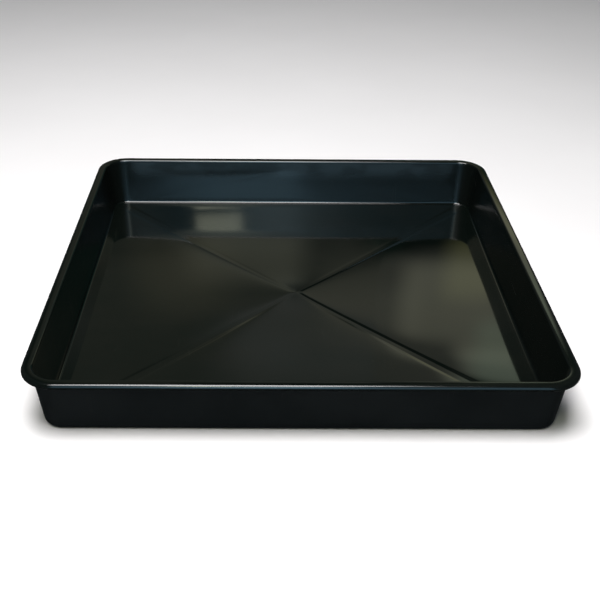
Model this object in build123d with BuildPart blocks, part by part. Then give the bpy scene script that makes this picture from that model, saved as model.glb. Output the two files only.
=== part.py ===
"""Square drip tray for draining oil: one thermoformed plastic skin.

Millimetres, +Z up. The origin is the centre of the tray on the surface it stands on.
"""
import os
from math import atan, cos, degrees, sqrt, tan

from build123d import *

# Driving dimensions
WIDTH = 1000.0          # across the rim, the same both ways
HEIGHT = 120.0          # from the ground to the top of the rim
SHEET = 4.0             # thickness of the formed sheet
CORNER_RADIUS = 68.0    # plan radius of the rim's outer corners

RIM_INSET = 20.0        # rim's outer edge to the inner wall's line, at the top
FLOOR_INSET = 33.0      # rim's outer edge to the inner wall's line, at the floor
LIP_DROP = 9.5          # depth of the turned-down lip, rim top included

RIM_OUTER_ROUND = 7.0   # rim top into the lip
RIM_INNER_ROUND = 5.0   # rim top into the inner wall
LIP_EDGE_ROUND = 1.0    # trimmed edge of the lip
CREASE_ROUND = 6.0      # inner wall into the floor
BASE_ROUND = CREASE_ROUND + SHEET

PANEL_LIFT = 2.0        # ground to the underside of the floor's four panels
FOOT_INSET = 59.0       # rim's outer edge to the inner side of the foot under the walls
FOOT_RADIUS = 9.0       # plan radius of the foot's inner corners

CROWN_HALVES = (150.0, 52.0, 6.0)   # half-widths of the low four-sided crown, from its foot to its top
CROWN_RISES = (0.0, 1.4, 4.0)       # rise of the floor at each of them

CHANNEL_REACH = 605.0   # crossing of the X to where its channels end, near the corners
RIB_REACH = 625.0       # crossing to where their ribs underneath end, inside the foot
CHANNEL_DEPTHS = (0.9, 1.9)         # depth at the crossing and at the full reach
CHANNEL_HALVES = (3.5, 9.5)         # half-width of the flat bottom, there and there
CHANNEL_SIDES = (4.0, 14.0)         # plan width of the sloping sides, there and there

# Worked out from the above
floor_z = SHEET + PANEL_LIFT
rim_under_z = HEIGHT - SHEET
lip_z = HEIGHT - LIP_DROP
wall_run = FLOOR_INSET - RIM_INSET
wall_angle = atan(wall_run / (HEIGHT - floor_z))
draft = degrees(wall_angle)
wall_level_gap = SHEET / cos(wall_angle)
base_inset = FLOOR_INSET + floor_z * tan(wall_angle) - wall_level_gap


def plan_section(inset):
    """Draw the tray's rounded square, set in from the rim's outer edge."""
    side = WIDTH - 2 * inset
    RectangleRounded(side, side, CORNER_RADIUS - inset)


def crown(base_z, skirt):
    """Return the low crown of the floor as a solid that stands on base_z, with a skirt below it."""
    with BuildPart() as solid:
        for half, rise in zip(CROWN_HALVES, CROWN_RISES):
            with BuildSketch(Plane.XY.offset(base_z + rise)):
                Rectangle(2 * half, 2 * half)
        loft(ruled=True)
        with BuildSketch(Plane.XY.offset(base_z)):
            Rectangle(2 * CROWN_HALVES[0], 2 * CROWN_HALVES[0])
        extrude(amount=-skirt)
    return solid.part


def partway(ends, distance):
    """Return a channel's dimension at a distance from the crossing, from its values at both ends."""
    return ends[0] + (ends[1] - ends[0]) * distance / CHANNEL_REACH


def channel_section(along, across, distance, level, thickness):
    """Return a channel in section: flat bottomed, with sloping sides, filled up past its level."""
    depth = partway(CHANNEL_DEPTHS, distance)
    half = partway(CHANNEL_HALVES, distance)
    brim = half + partway(CHANNEL_SIDES, distance)
    plane = Plane(origin=along * distance, x_dir=across, z_dir=along)
    with BuildSketch(plane) as section:
        with BuildLine():
            Polyline(
                (-brim, level + thickness),
                (-brim, level),
                (-half, level - depth),
                (half, level - depth),
                (brim, level),
                (brim, level + thickness),
                close=True,
            )
        make_face()
    return section.sketch


def crossed_channels(base_z, thickness, reach):
    """Return the X's channels as one solid, filled to a thickness above a floor at base_z."""
    crown_foot, crown_step, _ = (half * sqrt(2) for half in CROWN_HALVES)
    foot_rise, step_rise, top_rise = CROWN_RISES
    stations = ((0, top_rise), (crown_step, step_rise), (crown_foot, foot_rise), (reach, foot_rise))
    ahead = Vector(1, 1, 0).normalized()
    aside = Vector(-1, 1, 0).normalized()
    with BuildPart() as channels:
        for along, across in ((ahead, aside), (aside, -ahead), (-ahead, -aside), (-aside, ahead)):
            for near, far in zip(stations, stations[1:]):
                ends = [
                    channel_section(along, across, distance, base_z + rise, thickness)
                    for distance, rise in (near, far)
                ]
                loft(sections=ends, ruled=True)
    return channels.part


crown_above = crown(floor_z, SHEET / 2)
crown_below = crown(PANEL_LIFT, PANEL_LIFT + SHEET)
channels_above = crossed_channels(floor_z, SHEET, CHANNEL_REACH)
ribs_below = crossed_channels(PANEL_LIFT, SHEET / 2, RIB_REACH)

with BuildPart() as drain_pan:
    # Rim with its turned-down lip, hollow underneath
    with BuildSketch(Plane.XY.offset(lip_z)):
        plan_section(0)
    extrude(amount=LIP_DROP)
    fillet(drain_pan.edges().group_by(Axis.Z)[-1], radius=RIM_OUTER_ROUND)
    with BuildSketch(Plane.XY.offset(lip_z)):
        plan_section(SHEET)
    extrude(amount=LIP_DROP - SHEET, mode=Mode.SUBTRACT)
    fillet(drain_pan.edges().group_by(Axis.Z)[0], radius=LIP_EDGE_ROUND)

    # Sloping walls and base, still solid
    with BuildSketch(Plane.XY):
        plan_section(base_inset)
    extrude(amount=rim_under_z + SHEET / 2, taper=-draft)
    fillet(drain_pan.edges().group_by(Axis.Z)[0], radius=BASE_ROUND)

    # Inside of the tray
    with BuildSketch(Plane.XY.offset(floor_z)):
        plan_section(FLOOR_INSET)
    extrude(amount=HEIGHT - floor_z, taper=-draft, mode=Mode.SUBTRACT)
    floor_edges = drain_pan.edges().filter_by(
        lambda edge: abs(edge.center().Z - floor_z) < SHEET / 10
    )
    fillet(floor_edges, radius=CREASE_ROUND)
    mouth_half = WIDTH / 2 - (RIM_INSET + RIM_OUTER_ROUND) / 2
    mouth_edges = drain_pan.edges().filter_by(
        lambda edge: edge.center().Z > HEIGHT - SHEET / 10
        and max(abs(edge.center().X), abs(edge.center().Y)) < mouth_half
    )
    fillet(mouth_edges, radius=RIM_INNER_ROUND)

    # Underside: the panels stand off the ground inside a narrow foot, the crown higher still
    with BuildSketch(Plane.XY):
        foot_side = WIDTH - 2 * FOOT_INSET
        RectangleRounded(foot_side, foot_side, FOOT_RADIUS)
    extrude(amount=PANEL_LIFT, mode=Mode.SUBTRACT)
    add(crown_above)
    add(crown_below, mode=Mode.SUBTRACT)

    # The X: channels pressed into the floor, which show underneath as ribs
    add(ribs_below)
    add(channels_above, mode=Mode.SUBTRACT)

drain_pan.part.label = "drain_pan"
os.makedirs("parts", exist_ok=True)
export_step(drain_pan.part, "parts/drain_pan.step")
print("volume, litres of plastic:", round(drain_pan.part.volume / 1e6, 3))
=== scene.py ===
"""Looks of the oil drain pan: one glossy black formed tray on a pale studio floor."""
import math

import bpy
import numpy as np
from mathutils import Matrix, Vector


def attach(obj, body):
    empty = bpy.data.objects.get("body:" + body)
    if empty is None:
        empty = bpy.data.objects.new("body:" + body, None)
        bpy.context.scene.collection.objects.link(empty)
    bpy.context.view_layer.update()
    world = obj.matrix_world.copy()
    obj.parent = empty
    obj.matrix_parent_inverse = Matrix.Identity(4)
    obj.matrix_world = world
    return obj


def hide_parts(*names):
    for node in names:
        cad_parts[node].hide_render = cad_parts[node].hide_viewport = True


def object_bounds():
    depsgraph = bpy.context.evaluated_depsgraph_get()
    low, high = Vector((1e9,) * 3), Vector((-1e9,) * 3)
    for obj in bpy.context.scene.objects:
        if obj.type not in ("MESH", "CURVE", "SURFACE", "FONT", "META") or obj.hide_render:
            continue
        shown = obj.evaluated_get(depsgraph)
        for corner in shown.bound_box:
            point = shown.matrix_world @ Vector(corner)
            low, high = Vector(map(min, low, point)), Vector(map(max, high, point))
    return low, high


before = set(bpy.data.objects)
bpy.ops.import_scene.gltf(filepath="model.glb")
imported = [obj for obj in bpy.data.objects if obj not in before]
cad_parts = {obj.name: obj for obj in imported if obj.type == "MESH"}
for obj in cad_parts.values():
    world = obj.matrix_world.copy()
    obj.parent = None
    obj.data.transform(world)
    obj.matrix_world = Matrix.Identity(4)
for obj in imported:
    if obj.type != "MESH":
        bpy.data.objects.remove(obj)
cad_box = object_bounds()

MM = 0.001

# The tray's form, in metres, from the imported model's box and the sheet it is made of
low, high = cad_box
HALF = (high.x - low.x) / 2
TOP = high.z
SHEET = 4 * MM
PANEL_LIFT = 2 * MM
FLOOR_TOP = SHEET + PANEL_LIFT
CORNER_RADIUS = 68 * MM
RIM_INSET = 20 * MM
FLOOR_INSET = 33 * MM
LIP_DROP = 9.5 * MM
RIM_OUTER_ROUND = 7 * MM
RIM_INNER_ROUND = 5 * MM
LIP_EDGE_ROUND = 1 * MM
CREASE_ROUND = 6 * MM
BASE_ROUND = CREASE_ROUND + SHEET
UNDER_RIM_ROUND = 1.5 * MM

# The X in the floor: a low crown in the middle, and along each diagonal a flat channel in a soft valley
CROWN_RISE = 4.4 * MM
CROWN_SPREAD = 46 * MM
CROSSING_ROUND = 8 * MM
CREST_WIDTH = 4 * MM
CREST_WIDENING = 0.03
CHANNEL_DEPTH = 0.7 * MM
CHANNEL_HALF = 1.5 * MM
CHANNEL_WIDENING = 0.012
CHANNEL_SIDE = 8 * MM
SINK_REACH = 260 * MM
SINK_FADE = 170 * MM
SINK_BACK = 0.92
NOSE_ROUND = 5 * MM
VALLEY_DEPTH = 1.2 * MM
VALLEY_START = 0.1
VALLEY_GROWTH = 220 * MM
VALLEY_SPREAD = 5 * MM
VALLEY_WIDENING = 0.065
VALLEY_WIDER_BACK = 0.20
RELIEF_FADE = 28 * MM
FOOT_FADE = 26 * MM

# Slow unevenness of the sheet: its depth, and waves as cycles per metre along X and Y, and phase
RIPPLE_DEPTH = 0.12 * MM
RIPPLE_FADE = 60 * MM
RIPPLE_WAVES = ((1.9, 0.7, 0.3), (-1.1, 2.3, 1.7), (2.9, -2.1, 4.1), (0.6, 3.7, 2.6), (4.3, 1.3, 5.2))

# Colours of the plastic, inside and outside, of what lies on it, and of a painted bluish reflection on
# the back wall
GLOSS_TONES = ((0.0016, 0.0032, 0.0026, 1), (0.0030, 0.0042, 0.0034, 1))
MATT_TONES = ((0.0062, 0.0086, 0.0094, 1), (0.0088, 0.0116, 0.0124, 1))
DUST_COLOUR = (0.08, 0.08, 0.07, 1)
# Painted reflection: a light bluish colour high on the back wall, standing in for the light that the
# glossy wall reflects there
PAINTED_REFLECTION_COLOUR = (0.021, 0.033, 0.040, 1)
GLOSS_SCRATCH_COLOUR = (0.05, 0.05, 0.045, 1)
MATT_SCRATCH_COLOUR = (0.04, 0.04, 0.04, 1)
STUDIO_TONES = ((0.93, 0.92, 0.925, 1), (0.95, 0.94, 0.945, 1))
BLACK = (0, 0, 0, 1)
PLASTIC_IOR = 1.5

# Roughness from the smoothest to the dullest, and what walls, dust and scratches add to it
GLOSS_ROUGHNESS = (0.055, 0.085)
MATT_ROUGHNESS = (0.38, 0.5)
WALL_DULLNESS = 0.16
DUST_DULLNESS = 0.15
GLOSS_SCRATCH_DULLNESS = 0.15
MATT_SCRATCH_DULLNESS = 0.1

# Where the painted reflection on the back wall starts and ends, each as the two ends of a soft step
PAINTED_REFLECTION_NORTH = (0.455, 0.468)
PAINTED_REFLECTION_RISE = (62 * MM, 104 * MM)
PAINTED_REFLECTION_UNDER_RIM = (TOP - 8 * MM, TOP - 3 * MM)
PAINTED_REFLECTION_ENDS = (0.40, 0.44)

# Where the walls are dull, in the same way; a low stretch left of the middle stays smooth
WALL_FOOT = (FLOOR_TOP + 1 * MM, FLOOR_TOP + 9 * MM)
WALL_TOP = (TOP - 6 * MM, TOP - 1 * MM)
DULLNESS_ON_RIM = 0.35
SMOOTH_EAST = -0.17
SMOOTH_REACH = (0.13, 0.27)
SMOOTH_BOTTOM = (14 * MM, 24 * MM)
SMOOTH_TOP = (88 * MM, 108 * MM)
CORNER_START = (0.425, 0.450)
CORNER_EXTRA = 0.5

# The cards below were placed with a mirror calculation, to reflect as in one photograph.
# Each has a border over which it fades out, so that no edge of it shows in the tray.
CARD_BORDER = 0.10

# Soft patches of light on the card far behind the tray: east span, height span, softness, colour
EVEN_GLOW = (0.115, 0.12, 0.095)
BACK_PATCHES = (
    ((-2.4, 1.5), (3.15, 5.15), 0.28, EVEN_GLOW),
    ((1.5, 3.0), (3.15, 5.15), 0.28, (0.03, 0.10, 0.08)),
    ((-2.4, -0.65), (1.3, 3.05), 0.20, EVEN_GLOW),
    ((-0.65, 0.30), (2.5, 3.15), 0.18, (0.13, 0.14, 0.12)),
    ((0.30, 0.85), (2.7, 3.20), 0.18, (0.06, 0.06, 0.05)),
    ((1.05, 3.0), (1.3, 3.15), 0.20, (0.03, 0.10, 0.08)),
    ((-2.4, -1.15), (5.15, 7.4), 0.28, EVEN_GLOW),
    ((1.75, 3.0), (5.15, 5.9), 0.20, EVEN_GLOW),
    ((1.1, 3.0), (5.9, 7.4), 0.20, EVEN_GLOW),
    ((-0.85, 0.25), (2.95, 3.42), 0.22, (0.21, 0.21, 0.155)),
    ((-0.45, 0.25), (3.92, 4.40), 0.20, (0.06, 0.06, 0.06)),
    ((-1.29, -0.52), (3.11, 3.82), 0.30, (0.11, 0.10, 0.06)),
    ((0.36, 1.28), (3.42, 4.10), 0.33, (0.22, 0.21, 0.16)),
    ((-0.50, 1.28), (4.06, 4.87), 0.45, (0.11, 0.12, 0.12)),
)

# The same on a nearer card to the right, the strongest glow in the tray
GLOW_PATCHES = (
    ((0.27, 1.45), (0.61, 1.27), 0.06, (0.22, 0.22, 0.18)),
    ((0.27, 0.52), (0.76, 1.02), 0.08, (0.15, 0.15, 0.11)),
    ((0.46, 0.68), (0.66, 1.02), 0.06, (0.38, 0.38, 0.27)),
    ((0.68, 1.06), (0.66, 1.13), 0.06, (0.38, 0.38, 0.27)),
    ((0.62, 1.06), (0.54, 0.81), 0.06, (0.26, 0.26, 0.11)),
    ((0.71, 1.06), (1.07, 1.28), 0.06, (0.38, 0.43, 0.32)),
    ((0.77, 1.06), (0.91, 1.29), 0.06, (0.14, 0.24, 0.17)),
)

# And on a card in front, behind the camera
FRONT_PATCHES = (
    ((-1.35, 1.70), (0.2, 3.9), 0.15, (0.50, 0.92, 1.22)),
    ((-0.65, 0.32), (0.2, 3.9), 0.35, (0.85, 1.45, 1.85)),
    ((-0.30, 0.30), (2.3, 3.9), 0.25, (3.4, 4.2, 4.3)),
)

# The photograph's camera: place, and pitch, yaw and roll in degrees
CAMERA_PLACE = (-0.057, -1.788, TOP + 0.968)
CAMERA_TURN = (-31.6, 0.54, 0.56)
SENSOR_WIDTH = 36.0
FOCAL_LENGTH = 55.8
LENS_SHIFT = 0.038

# Surroundings and the floor that the tray stands on
WORLD_COLOUR = (0.85, 0.97, 1.0, 1)
WORLD_STRENGTH = 0.06
STUDIO_REACH = 14.0
STUDIO_DROP = 0.2 * MM

# Mesh density
LONGEST_SPAN = 6 * MM
RING_CROWDING = 1.15
SIDE_ARC_STEPS = 9
SIDE_STRAIGHT_STEPS = 62
SIDE_STEPS = 2 * SIDE_ARC_STEPS + SIDE_STRAIGHT_STEPS
STRAIGHT_BUNCHING = 0.92
PATCH_HALF = 30 * MM
EVEN_HALF = 110 * MM
PANEL_EDGE_INSET = 46 * MM
PANEL_RINGS = 50


# ---------------------------------------------------------------- form of the tray

def quarter_turn(points, turns):
    """Turn plan points by quarter turns about the tray's centre."""
    for _ in range(turns):
        points = np.stack([-points[:, 1], points[:, 0]], axis=1)
    return points


def bunched(count):
    """Return count + 1 places from -1 to 1 that lie closer together towards both ends."""
    places = np.linspace(-1, 1, count + 1)
    return np.sin(places * STRAIGHT_BUNCHING * math.pi / 2) / math.sin(STRAIGHT_BUNCHING * math.pi / 2)


def side_of_ring(half, radius):
    """Return one side of a rounded square, from the middle of one corner to the next."""
    turn = np.linspace(-math.pi / 4, 0, SIDE_ARC_STEPS + 1)
    first = np.stack([half - radius + radius * np.cos(turn),
                      radius - half + radius * np.sin(turn)], axis=1)
    along = bunched(SIDE_STRAIGHT_STEPS) * (half - radius)
    straight = np.stack([np.full_like(along, half), along], axis=1)
    last = first[::-1] * (1, -1)
    return np.concatenate([first, straight[1:-1], last])[:-1]


def ring(half, radius, evenness=0.0):
    """Return a rounded square's points; evenness 1 gives a sharp square of equal steps."""
    side = side_of_ring(half, radius)
    even = np.stack([np.full(SIDE_STEPS, half),
                     np.linspace(-half, half, SIDE_STEPS + 1)[:-1]], axis=1)
    side = side * (1 - evenness) + even * evenness
    return np.concatenate([quarter_turn(side, turns) for turns in range(4)])


def smooth_step(value):
    """0 up to 0, 1 from 1 on, and a soft rise between."""
    value = np.clip(value, 0, 1)
    return value * value * (3 - 2 * value)


def sheet_ripple(x, y):
    """Slow unevenness that a formed sheet keeps, a small fraction of a millimetre."""
    total = sum(np.sin(2 * math.pi * (a * x + b * y) + c) / math.hypot(a, b) for a, b, c in RIPPLE_WAVES)
    return RIPPLE_DEPTH * total


def edge_fade(x, y, reach):
    """1 over the floor, falling to 0 within the given reach of the walls."""
    return smooth_step((HALF - PANEL_EDGE_INSET - np.maximum(np.abs(x), np.abs(y))) / reach)


def floor_relief(x, y):
    """Height of the crown less the depth of the X's channels, against the flat panels between them."""
    across = np.hypot(x, CROSSING_ROUND / 2)
    along = np.hypot(y, CROSSING_ROUND / 2)
    crest = CREST_WIDTH + CREST_WIDENING * np.minimum(np.abs(x), np.abs(y))
    reach = (across + along + np.sqrt((across - along) ** 2 + crest ** 2)) / 2
    crown = CROWN_RISE * np.exp(-reach / CROWN_SPREAD)

    from_middle = (np.abs(x) + np.abs(y)) / math.sqrt(2)
    rising = np.abs(x - y) / math.sqrt(2)
    falling = np.abs(x + y) / math.sqrt(2)
    from_arm = (rising + falling - np.hypot(rising - falling, NOSE_ROUND)) / 2
    beyond = from_arm - CHANNEL_HALF - CHANNEL_WIDENING * from_middle
    near_middle = np.exp(-(from_middle / SINK_REACH) ** 2)
    off_walls = edge_fade(x, y, SINK_FADE)
    in_front_or_back = smooth_step((np.abs(y) - np.abs(x)) / CHANNEL_HALF)
    on_left = smooth_step((-x - np.abs(y)) / CHANNEL_HALF)
    on_back = np.where(y > 0, in_front_or_back, 0)
    on_front = in_front_or_back - on_back
    lowered = SINK_BACK * off_walls * (on_back + on_left) + near_middle * on_front
    channel = CHANNEL_DEPTH * (1 - smooth_step(beyond / CHANNEL_SIDE) * (1 - lowered))
    depth = VALLEY_DEPTH * (1 - (1 - VALLEY_START) * np.exp(-from_middle / VALLEY_GROWTH))
    spread = VALLEY_SPREAD + (VALLEY_WIDENING + VALLEY_WIDER_BACK * on_back) * from_middle
    valley = depth * np.exp(-np.maximum(beyond, 0) / spread)
    return crown - (channel + valley) * edge_fade(x, y, RELIEF_FADE)


def rounded_path(corners):
    """Turn (inset, height, radius, spans) corners into a path with arcs, most points on the arcs."""
    path = [np.array(corners[0][:2])]
    for before, here, after in zip(corners, corners[1:], corners[2:]):
        point = np.array(here[:2])
        to_before = np.array(before[:2]) - point
        to_after = np.array(after[:2]) - point
        to_before /= np.linalg.norm(to_before)
        to_after /= np.linalg.norm(to_after)
        opening = math.acos(np.clip(to_before @ to_after, -1, 1))
        radius, steps = here[2], here[3]
        bisector = (to_before + to_after) / np.linalg.norm(to_before + to_after)
        centre = point + bisector * radius / math.sin(opening / 2)
        start = point + to_before * radius / math.tan(opening / 2) - centre
        end = point + to_after * radius / math.tan(opening / 2) - centre
        turn = math.acos(np.clip(start @ end / radius ** 2, -1, 1))
        for step in range(steps + 1):
            share = step / steps
            arm = (math.sin((1 - share) * turn) * start + math.sin(share * turn) * end) / math.sin(turn)
            path.append(centre + arm)
    path.append(np.array(corners[-1][:2]))
    return path


def with_spans(path, longest):
    """Divide a path's long straight runs into spans of about the given length."""
    fine = [path[0]]
    for start, end in zip(path, path[1:]):
        count = max(1, round(np.linalg.norm(end - start) / longest))
        fine += [start + (end - start) * step / count for step in range(1, count + 1)]
    return fine


def tray_section():
    """Return the section from the inside of the floor, up over the rim and down to the base."""
    slope = (FLOOR_INSET - RIM_INSET) / (TOP - FLOOR_TOP)
    wall_gap = SHEET * math.hypot(1, slope)
    base_inset = FLOOR_INSET + FLOOR_TOP * slope - wall_gap
    under_rim_inset = RIM_INSET + SHEET * slope - wall_gap
    lip_z = TOP - LIP_DROP
    corners = (
        (PANEL_EDGE_INSET, FLOOR_TOP, 0, 0),
        (FLOOR_INSET, FLOOR_TOP, CREASE_ROUND, 8),
        (RIM_INSET, TOP, RIM_INNER_ROUND, 7),
        (0, TOP, RIM_OUTER_ROUND, 7),
        (0, lip_z, LIP_EDGE_ROUND, 3),
        (SHEET, lip_z, LIP_EDGE_ROUND, 3),
        (SHEET, TOP - SHEET, LIP_EDGE_ROUND, 3),
        (under_rim_inset, TOP - SHEET, UNDER_RIM_ROUND, 4),
        (base_inset, 0, BASE_ROUND, 8),
        (PANEL_EDGE_INSET, 0, 0, 0),
    )
    return with_spans(rounded_path(corners), LONGEST_SPAN)


def panel_halves():
    """Return the half-widths of the floor's rings, from the centre patch out to the wall."""
    outer = HALF - PANEL_EDGE_INSET
    places = np.linspace(0, 1, PANEL_RINGS + 1) ** RING_CROWDING
    return PATCH_HALF + (outer - PATCH_HALF) * places


def tray_mesh():
    """Build the tray as one closed skin of quads."""
    vertices = []
    faces = []
    outside = []
    per_ring = 4 * SIDE_STEPS

    def add_ring(plan, z):
        first = len(vertices)
        vertices.extend(zip(plan[:, 0], plan[:, 1], np.broadcast_to(z, len(plan))))
        return first

    def join(lower, upper, is_outside):
        for step in range(per_ring):
            after = (step + 1) % per_ring
            faces.append((lower + step, lower + after, upper + after, upper + step))
            outside.append(is_outside)

    def floor_z(plan, is_outside):
        x, y = plan[:, 0], plan[:, 1]
        if is_outside:
            return (PANEL_LIFT + floor_relief(x, y)) * edge_fade(x, y, FOOT_FADE)
        return FLOOR_TOP + floor_relief(x, y) + sheet_ripple(x, y) * edge_fade(x, y, RIPPLE_FADE)

    def add_panel(is_outside):
        """Add one face of the floor and return its outermost ring."""
        halves = panel_halves()
        full_radius = CORNER_RADIUS - PANEL_EDGE_INSET
        firsts = []
        for half in halves:
            evenness = 1 - smooth_step((half - PATCH_HALF) / (EVEN_HALF - PATCH_HALF))
            plan = ring(half, full_radius * half / halves[-1], evenness)
            firsts.append(add_ring(plan, floor_z(plan, is_outside)))
        for inner, outer in zip(firsts, firsts[1:]):
            if is_outside:
                join(inner, outer, True)
            else:
                join(outer, inner, False)
        add_patch(firsts[0], is_outside)
        return firsts[-1]

    def add_patch(first, is_outside):
        """Fill the middle of the floor with a square grid that shares the first ring's points."""
        last = SIDE_STEPS
        places = np.linspace(-PATCH_HALF, PATCH_HALF, last + 1)
        index = np.zeros((last + 1, last + 1), int)
        for step in range(last):
            index[last, step] = first + step
            index[last - step, last] = first + last + step
            index[0, last - step] = first + 2 * last + step
            index[step, 0] = first + 3 * last + step
        for column in range(1, last):
            plan = np.stack([np.full(last - 1, places[column]), places[1:-1]], axis=1)
            start = add_ring(plan, floor_z(plan, is_outside))
            index[column, 1:last] = np.arange(start, start + last - 1)
        for column in range(last):
            for row in range(last):
                quad = (index[column, row], index[column + 1, row],
                        index[column + 1, row + 1], index[column, row + 1])
                faces.append(tuple(int(i) for i in (reversed(quad) if is_outside else quad)))
                outside.append(is_outside)

    def height_on_lip(place):
        inset, z = section[place]
        return z if inset < SHEET else TOP

    section = tray_section()
    lip_bottom = min(range(len(section)), key=height_on_lip)
    previous = add_panel(False)
    for place, (inset, z) in enumerate(section[1:-1], start=1):
        current = add_ring(ring(HALF - inset, CORNER_RADIUS - inset), z)
        join(current, previous, place > lip_bottom)
        previous = current
    under = add_panel(True)
    join(under, previous, True)

    mesh = bpy.data.meshes.new("drain_pan_skin")
    mesh.from_pydata([tuple(float(c) for c in v) for v in vertices], [], faces)
    mesh.polygons.foreach_set("material_index", np.array(outside, dtype=np.int32))
    mesh.shade_smooth()
    mesh.update()
    return mesh


# ---------------------------------------------------------------- materials

class Nodes:
    """A few shorthands for building a material's node tree."""

    def __init__(self, name):
        self.material = bpy.data.materials.new(name)
        self.material.use_nodes = True
        self.tree = self.material.node_tree
        self.shader = self.tree.nodes["Principled BSDF"]
        self.place = self.add("ShaderNodeTexCoord").outputs["Object"]

    def add(self, kind, **settings):
        node = self.tree.nodes.new(kind)
        for key, value in settings.items():
            setattr(node, key, value)
        return node

    def link(self, source, target):
        self.tree.links.new(source, target)

    def feed(self, socket, value):
        if hasattr(value, "is_linked"):
            self.link(value, socket)
        else:
            socket.default_value = value

    def noise(self, scale, detail=2.0, rough=0.5, stretch=None, turn=0.0):
        """Noise over the object's own coordinates, optionally turned and stretched into streaks."""
        texture = self.add("ShaderNodeTexNoise")
        texture.inputs["Scale"].default_value = scale
        texture.inputs["Detail"].default_value = detail
        texture.inputs["Roughness"].default_value = rough
        source = self.place
        if stretch is not None:
            mapping = self.add("ShaderNodeMapping")
            mapping.inputs["Rotation"].default_value = (0, 0, turn)
            mapping.inputs["Scale"].default_value = stretch
            self.link(source, mapping.inputs["Vector"])
            source = mapping.outputs["Vector"]
        self.link(source, texture.inputs["Vector"])
        return texture.outputs["Fac"]

    def remap(self, value, low_in, high_in, low_out=0.0, high_out=1.0):
        node = self.add("ShaderNodeMapRange", interpolation_type="SMOOTHSTEP")
        self.feed(node.inputs["Value"], value)
        for name, number in (("From Min", low_in), ("From Max", high_in),
                             ("To Min", low_out), ("To Max", high_out)):
            node.inputs[name].default_value = number
        return node.outputs["Result"]

    def math(self, operation, first, second=0.0):
        node = self.add("ShaderNodeMath", operation=operation)
        self.feed(node.inputs[0], first)
        self.feed(node.inputs[1], second)
        return node.outputs[0]

    def product(self, first, *others):
        for other in others:
            first = self.math("MULTIPLY", first, other)
        return first

    def coordinates(self):
        """Return the object's own X, Y and Z."""
        node = self.add("ShaderNodeSeparateXYZ")
        self.link(self.place, node.inputs[0])
        return node.outputs["X"], node.outputs["Y"], node.outputs["Z"]

    def mix_colour(self, share, first, second):
        node = self.add("ShaderNodeMix", data_type="RGBA")
        self.feed(node.inputs["Factor"], share)
        self.feed(node.inputs["A"], first)
        self.feed(node.inputs["B"], second)
        return node.outputs["Result"]

    def add_colour(self, first, second):
        node = self.add("ShaderNodeMix", data_type="RGBA", blend_type="ADD")
        node.inputs["Factor"].default_value = 1.0
        self.feed(node.inputs["A"], first)
        self.feed(node.inputs["B"], second)
        return node.outputs["Result"]

    def bump(self, height, distance, strength, normal=None):
        node = self.add("ShaderNodeBump")
        node.inputs["Distance"].default_value = distance
        node.inputs["Strength"].default_value = strength
        self.link(height, node.inputs["Height"])
        if normal is not None:
            self.link(normal, node.inputs["Normal"])
        return node.outputs["Normal"]


def scratch_lines(nodes, turns, scale, sparse):
    """Fine broken lines: thin bands of noise drawn out along one direction, for each turn given."""
    total = None
    for turn in turns:
        streak = nodes.noise(scale, detail=0.0, stretch=(1.0, 0.05, 0.05), turn=turn)
        from_crest = nodes.math("ABSOLUTE", nodes.math("SUBTRACT", streak, 0.5))
        line = nodes.remap(from_crest, 0.0, 0.006, 1.0, 0.0)
        patches = nodes.noise(9.0, detail=1.0, stretch=(1, 1, 1), turn=turn + 1.0)
        line = nodes.product(line, nodes.remap(patches, sparse, sparse + 0.06))
        total = line if total is None else nodes.math("MAXIMUM", total, line)
    return total


def back_wall_painted_reflection(nodes):
    """Where a painted bluish reflection lies, in streaks: high on the back wall, clear of its ends and
    of the rim.
    """
    x, y, z = nodes.coordinates()
    reflection_streaks = nodes.noise(14.0, detail=2.0, stretch=(1.0, 1.0, 2.2))
    return nodes.product(
        nodes.remap(y, *PAINTED_REFLECTION_NORTH),
        nodes.remap(z, *PAINTED_REFLECTION_RISE),
        nodes.remap(z, *PAINTED_REFLECTION_UNDER_RIM, 1.0, 0.0),
        nodes.remap(nodes.math("ABSOLUTE", x), *PAINTED_REFLECTION_ENDS, 1.0, 0.0),
        nodes.remap(reflection_streaks, 0.38, 0.60, 0.55, 1.0),
    )


def dull_walls(nodes):
    """Where the walls are duller than the floor, more so in their corners."""
    x, y, z = nodes.coordinates()
    foot = nodes.remap(z, *WALL_FOOT)
    top = nodes.remap(z, *WALL_TOP, 1.0, DULLNESS_ON_RIM)
    beside = nodes.remap(nodes.math("ABSOLUTE", nodes.math("ADD", x, -SMOOTH_EAST)), *SMOOTH_REACH)
    above = nodes.remap(z, *SMOOTH_TOP)
    below = nodes.remap(z, *SMOOTH_BOTTOM, 1.0, 0.0)
    drawn = nodes.math("MAXIMUM", nodes.math("MAXIMUM", beside, above), below)
    in_corner = nodes.product(
        nodes.remap(nodes.math("ABSOLUTE", x), *CORNER_START),
        nodes.remap(nodes.math("ABSOLUTE", y), *CORNER_START),
    )
    more = nodes.math("ADD", nodes.product(in_corner, CORNER_EXTRA), 1.0)
    return nodes.product(foot, top, drawn, more)


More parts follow.
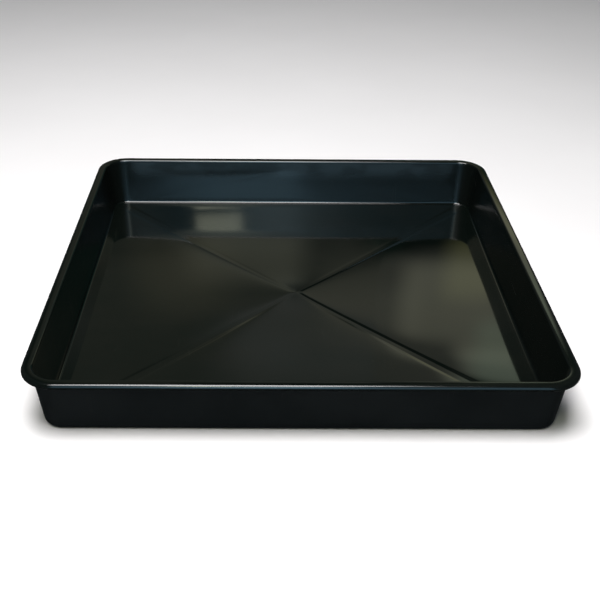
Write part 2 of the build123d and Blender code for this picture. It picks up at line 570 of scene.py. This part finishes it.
def gloss_black():
    """Inside and rim: smooth pressed black plastic with wipe marks, dust and hairline scratches, and a
    painted bluish reflection high on the back wall.
    """
    nodes = Nodes("black_plastic_gloss")
    smears = nodes.noise(4.0, detail=4.0, rough=0.6, stretch=(1.0, 2.0, 1.0), turn=0.4)
    specks = nodes.remap(nodes.noise(700.0, detail=1.0), 0.70, 0.80)
    dust = nodes.product(specks, nodes.remap(nodes.noise(5.0, detail=2.0), 0.45, 0.7))
    scratches = scratch_lines(nodes, (0.15, 1.3, 2.5), 90.0, 0.68)

    plastic = nodes.mix_colour(nodes.remap(smears, 0.3, 0.7), *GLOSS_TONES)
    dusty = nodes.mix_colour(nodes.product(dust, 0.2), plastic, DUST_COLOUR)
    worn = nodes.mix_colour(nodes.product(scratches, 0.3), dusty, GLOSS_SCRATCH_COLOUR)
    # Painted reflection: lightens the upper back wall towards the bluish light it reflects
    with_painted_reflection = nodes.mix_colour(back_wall_painted_reflection(nodes), worn, PAINTED_REFLECTION_COLOUR)
    nodes.link(with_painted_reflection, nodes.shader.inputs["Base Color"])

    rough = nodes.remap(smears, 0.35, 0.75, *GLOSS_ROUGHNESS)
    rough = nodes.math("ADD", rough, nodes.product(dull_walls(nodes), WALL_DULLNESS))
    rough = nodes.math("ADD", rough, nodes.product(dust, DUST_DULLNESS))
    rough = nodes.math("ADD", rough, nodes.product(scratches, GLOSS_SCRATCH_DULLNESS))
    nodes.link(rough, nodes.shader.inputs["Roughness"])

    nodes.link(nodes.bump(nodes.noise(40.0, detail=2.0), 0.1 * MM, 0.05), nodes.shader.inputs["Normal"])
    nodes.shader.inputs["IOR"].default_value = PLASTIC_IOR
    return nodes.material


def matt_black():
    """Outside and underside: the same plastic as it left the mould, finely grained and duller."""
    nodes = Nodes("black_plastic_matt")
    cloud = nodes.noise(6.0, detail=4.0, rough=0.6)
    grain = nodes.noise(1400.0, detail=2.0)
    scuffs = scratch_lines(nodes, (0.0, 1.57, 0.7), 50.0, 0.62)

    plastic = nodes.mix_colour(nodes.remap(cloud, 0.35, 0.7), *MATT_TONES)
    worn = nodes.mix_colour(nodes.product(scuffs, 0.2), plastic, MATT_SCRATCH_COLOUR)
    nodes.link(worn, nodes.shader.inputs["Base Color"])

    rough = nodes.remap(cloud, 0.3, 0.7, *MATT_ROUGHNESS)
    rough = nodes.math("ADD", rough, nodes.product(scuffs, MATT_SCRATCH_DULLNESS))
    nodes.link(rough, nodes.shader.inputs["Roughness"])

    nodes.link(nodes.bump(grain, 0.05 * MM, 0.2), nodes.shader.inputs["Normal"])
    nodes.shader.inputs["IOR"].default_value = PLASTIC_IOR
    nodes.shader.inputs["Specular IOR Level"].default_value = 0.08
    return nodes.material


def pale_floor():
    """Studio floor: off-white with a barely visible mottling."""
    nodes = Nodes("studio_floor")
    mottle = nodes.remap(nodes.noise(2.0, detail=4.0), 0.3, 0.7)
    nodes.link(nodes.mix_colour(mottle, *STUDIO_TONES), nodes.shader.inputs["Base Color"])
    nodes.shader.inputs["Roughness"].default_value = 0.9
    nodes.shader.inputs["Specular IOR Level"].default_value = 0.1
    return nodes.material


# ---------------------------------------------------------------- scene

def link_new(name, data):
    thing = bpy.data.objects.new(name, data)
    bpy.context.scene.collection.objects.link(thing)
    return thing


def soft_box(name, place, target, size, power, colour):
    """Add an area light of size (width, height) that faces the target."""
    lamp = bpy.data.lights.new(name, "AREA")
    lamp.shape = "RECTANGLE"
    lamp.size, lamp.size_y = size
    lamp.energy = power
    lamp.color = colour
    thing = link_new(name, lamp)
    thing.location = place
    aim = Vector(target) - Vector(place)
    thing.rotation_mode = "QUATERNION"
    thing.rotation_quaternion = aim.to_track_quat("-Z", "Y")


def studio_floor():
    mesh = bpy.data.meshes.new("studio_floor")
    corners = ((-1, -1), (1, -1), (1, 1), (-1, 1))
    mesh.from_pydata([(x * STUDIO_REACH, y * STUDIO_REACH, -STUDIO_DROP) for x, y in corners],
                     [], [(0, 1, 2, 3)])
    mesh.materials.append(pale_floor())
    return link_new("studio_floor", mesh)


def soft_patch(nodes, east, up, span, rise, soft):
    """A soft-edged rectangle in the two given coordinates: 1 inside, 0 outside."""
    inside = None
    for value, (start, end) in ((east, span), (up, rise)):
        opens = nodes.remap(value, start - soft, start + soft)
        closes = nodes.remap(value, end - soft, end + soft, 1.0, 0.0)
        both = nodes.product(opens, closes)
        inside = both if inside is None else nodes.product(inside, both)
    return inside


def glow_card(name, north, span, rise, patches):
    """Add a card of soft light that stands across the Y axis; it is seen only in reflections."""
    mesh = bpy.data.meshes.new(name)
    mesh.from_pydata([(span[0], north, rise[0]), (span[1], north, rise[0]),
                      (span[1], north, rise[1]), (span[0], north, rise[1])], [], [(0, 1, 2, 3)])
    nodes = Nodes(name)
    x, _, z = nodes.coordinates()
    light = None
    for patch_span, patch_rise, soft, colour in patches:
        share = soft_patch(nodes, x, z, patch_span, patch_rise, soft)
        patch = nodes.mix_colour(share, BLACK, (*colour, 1))
        light = patch if light is None else nodes.add_colour(light, patch)
    solid = soft_patch(nodes, x, z, span, rise, CARD_BORDER)
    nodes.link(solid, nodes.shader.inputs["Alpha"])
    nodes.link(light, nodes.shader.inputs["Emission Color"])
    nodes.shader.inputs["Emission Strength"].default_value = 1.0
    nodes.shader.inputs["Base Color"].default_value = BLACK
    nodes.shader.inputs["Specular IOR Level"].default_value = 0.0
    mesh.materials.append(nodes.material)
    card = link_new(name, mesh)
    card.visible_camera = False
    card.visible_diffuse = False
    card.visible_shadow = False
    return card


def set_world():
    """Dim even surroundings, a little cooler than the lamps."""
    world = bpy.data.worlds.new("studio")
    world.use_nodes = True
    background = world.node_tree.nodes["Background"]
    background.inputs["Color"].default_value = WORLD_COLOUR
    background.inputs["Strength"].default_value = WORLD_STRENGTH
    bpy.context.scene.world = world


def set_camera():
    """Stand the camera in front of the tray and a little left, looking down into it."""
    lens = bpy.data.cameras.new("photo_view")
    lens.sensor_width = SENSOR_WIDTH
    lens.lens = FOCAL_LENGTH
    lens.shift_x = LENS_SHIFT
    camera = link_new("photo_view", lens)
    pitch, yaw, roll = (math.radians(angle) for angle in CAMERA_TURN)
    forward = Vector((math.sin(yaw) * math.cos(pitch), math.cos(yaw) * math.cos(pitch), math.sin(pitch)))
    right = forward.cross(Vector((0, 0, 1))).normalized()
    up = right.cross(forward)
    rolled_right = right * math.cos(roll) + up * math.sin(roll)
    rolled_up = up * math.cos(roll) - right * math.sin(roll)
    turn = Matrix((rolled_right, rolled_up, -forward)).transposed().to_4x4()
    camera.matrix_world = Matrix.Translation(CAMERA_PLACE) @ turn
    bpy.context.scene.camera = camera


pan = link_new("drain_pan_skin", tray_mesh())
pan.data.materials.append(gloss_black())
pan.data.materials.append(matt_black())

floor = studio_floor()
floor.visible_glossy = False
set_world()
set_camera()
bpy.context.scene.view_settings.view_transform = "Standard"

soft_box("key", place=(-0.35, -0.8, 3.4), target=(0, 0, 0),
         size=(1.9, 1.8), power=165, colour=(1.0, 0.985, 0.99))
soft_box("window", place=(-0.42, -2.45, 2.83), target=(-0.2, 0.475, 0.07),
         size=(0.33, 0.52), power=10.5, colour=(1.0, 1.02, 0.76))
cards = (
    glow_card("back_card", north=6.0, span=(-3.2, 3.4), rise=(1.0, 7.4), patches=BACK_PATCHES),
    glow_card("glow_card", north=1.3, span=(0.36, 1.18), rise=(0.44, 1.62), patches=GLOW_PATCHES),
    glow_card("front_card", north=-3.0, span=(-2.8, 2.8), rise=(0.1, 4.0), patches=FRONT_PATCHES),
)

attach(pan, "root")
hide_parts("drain_pan")
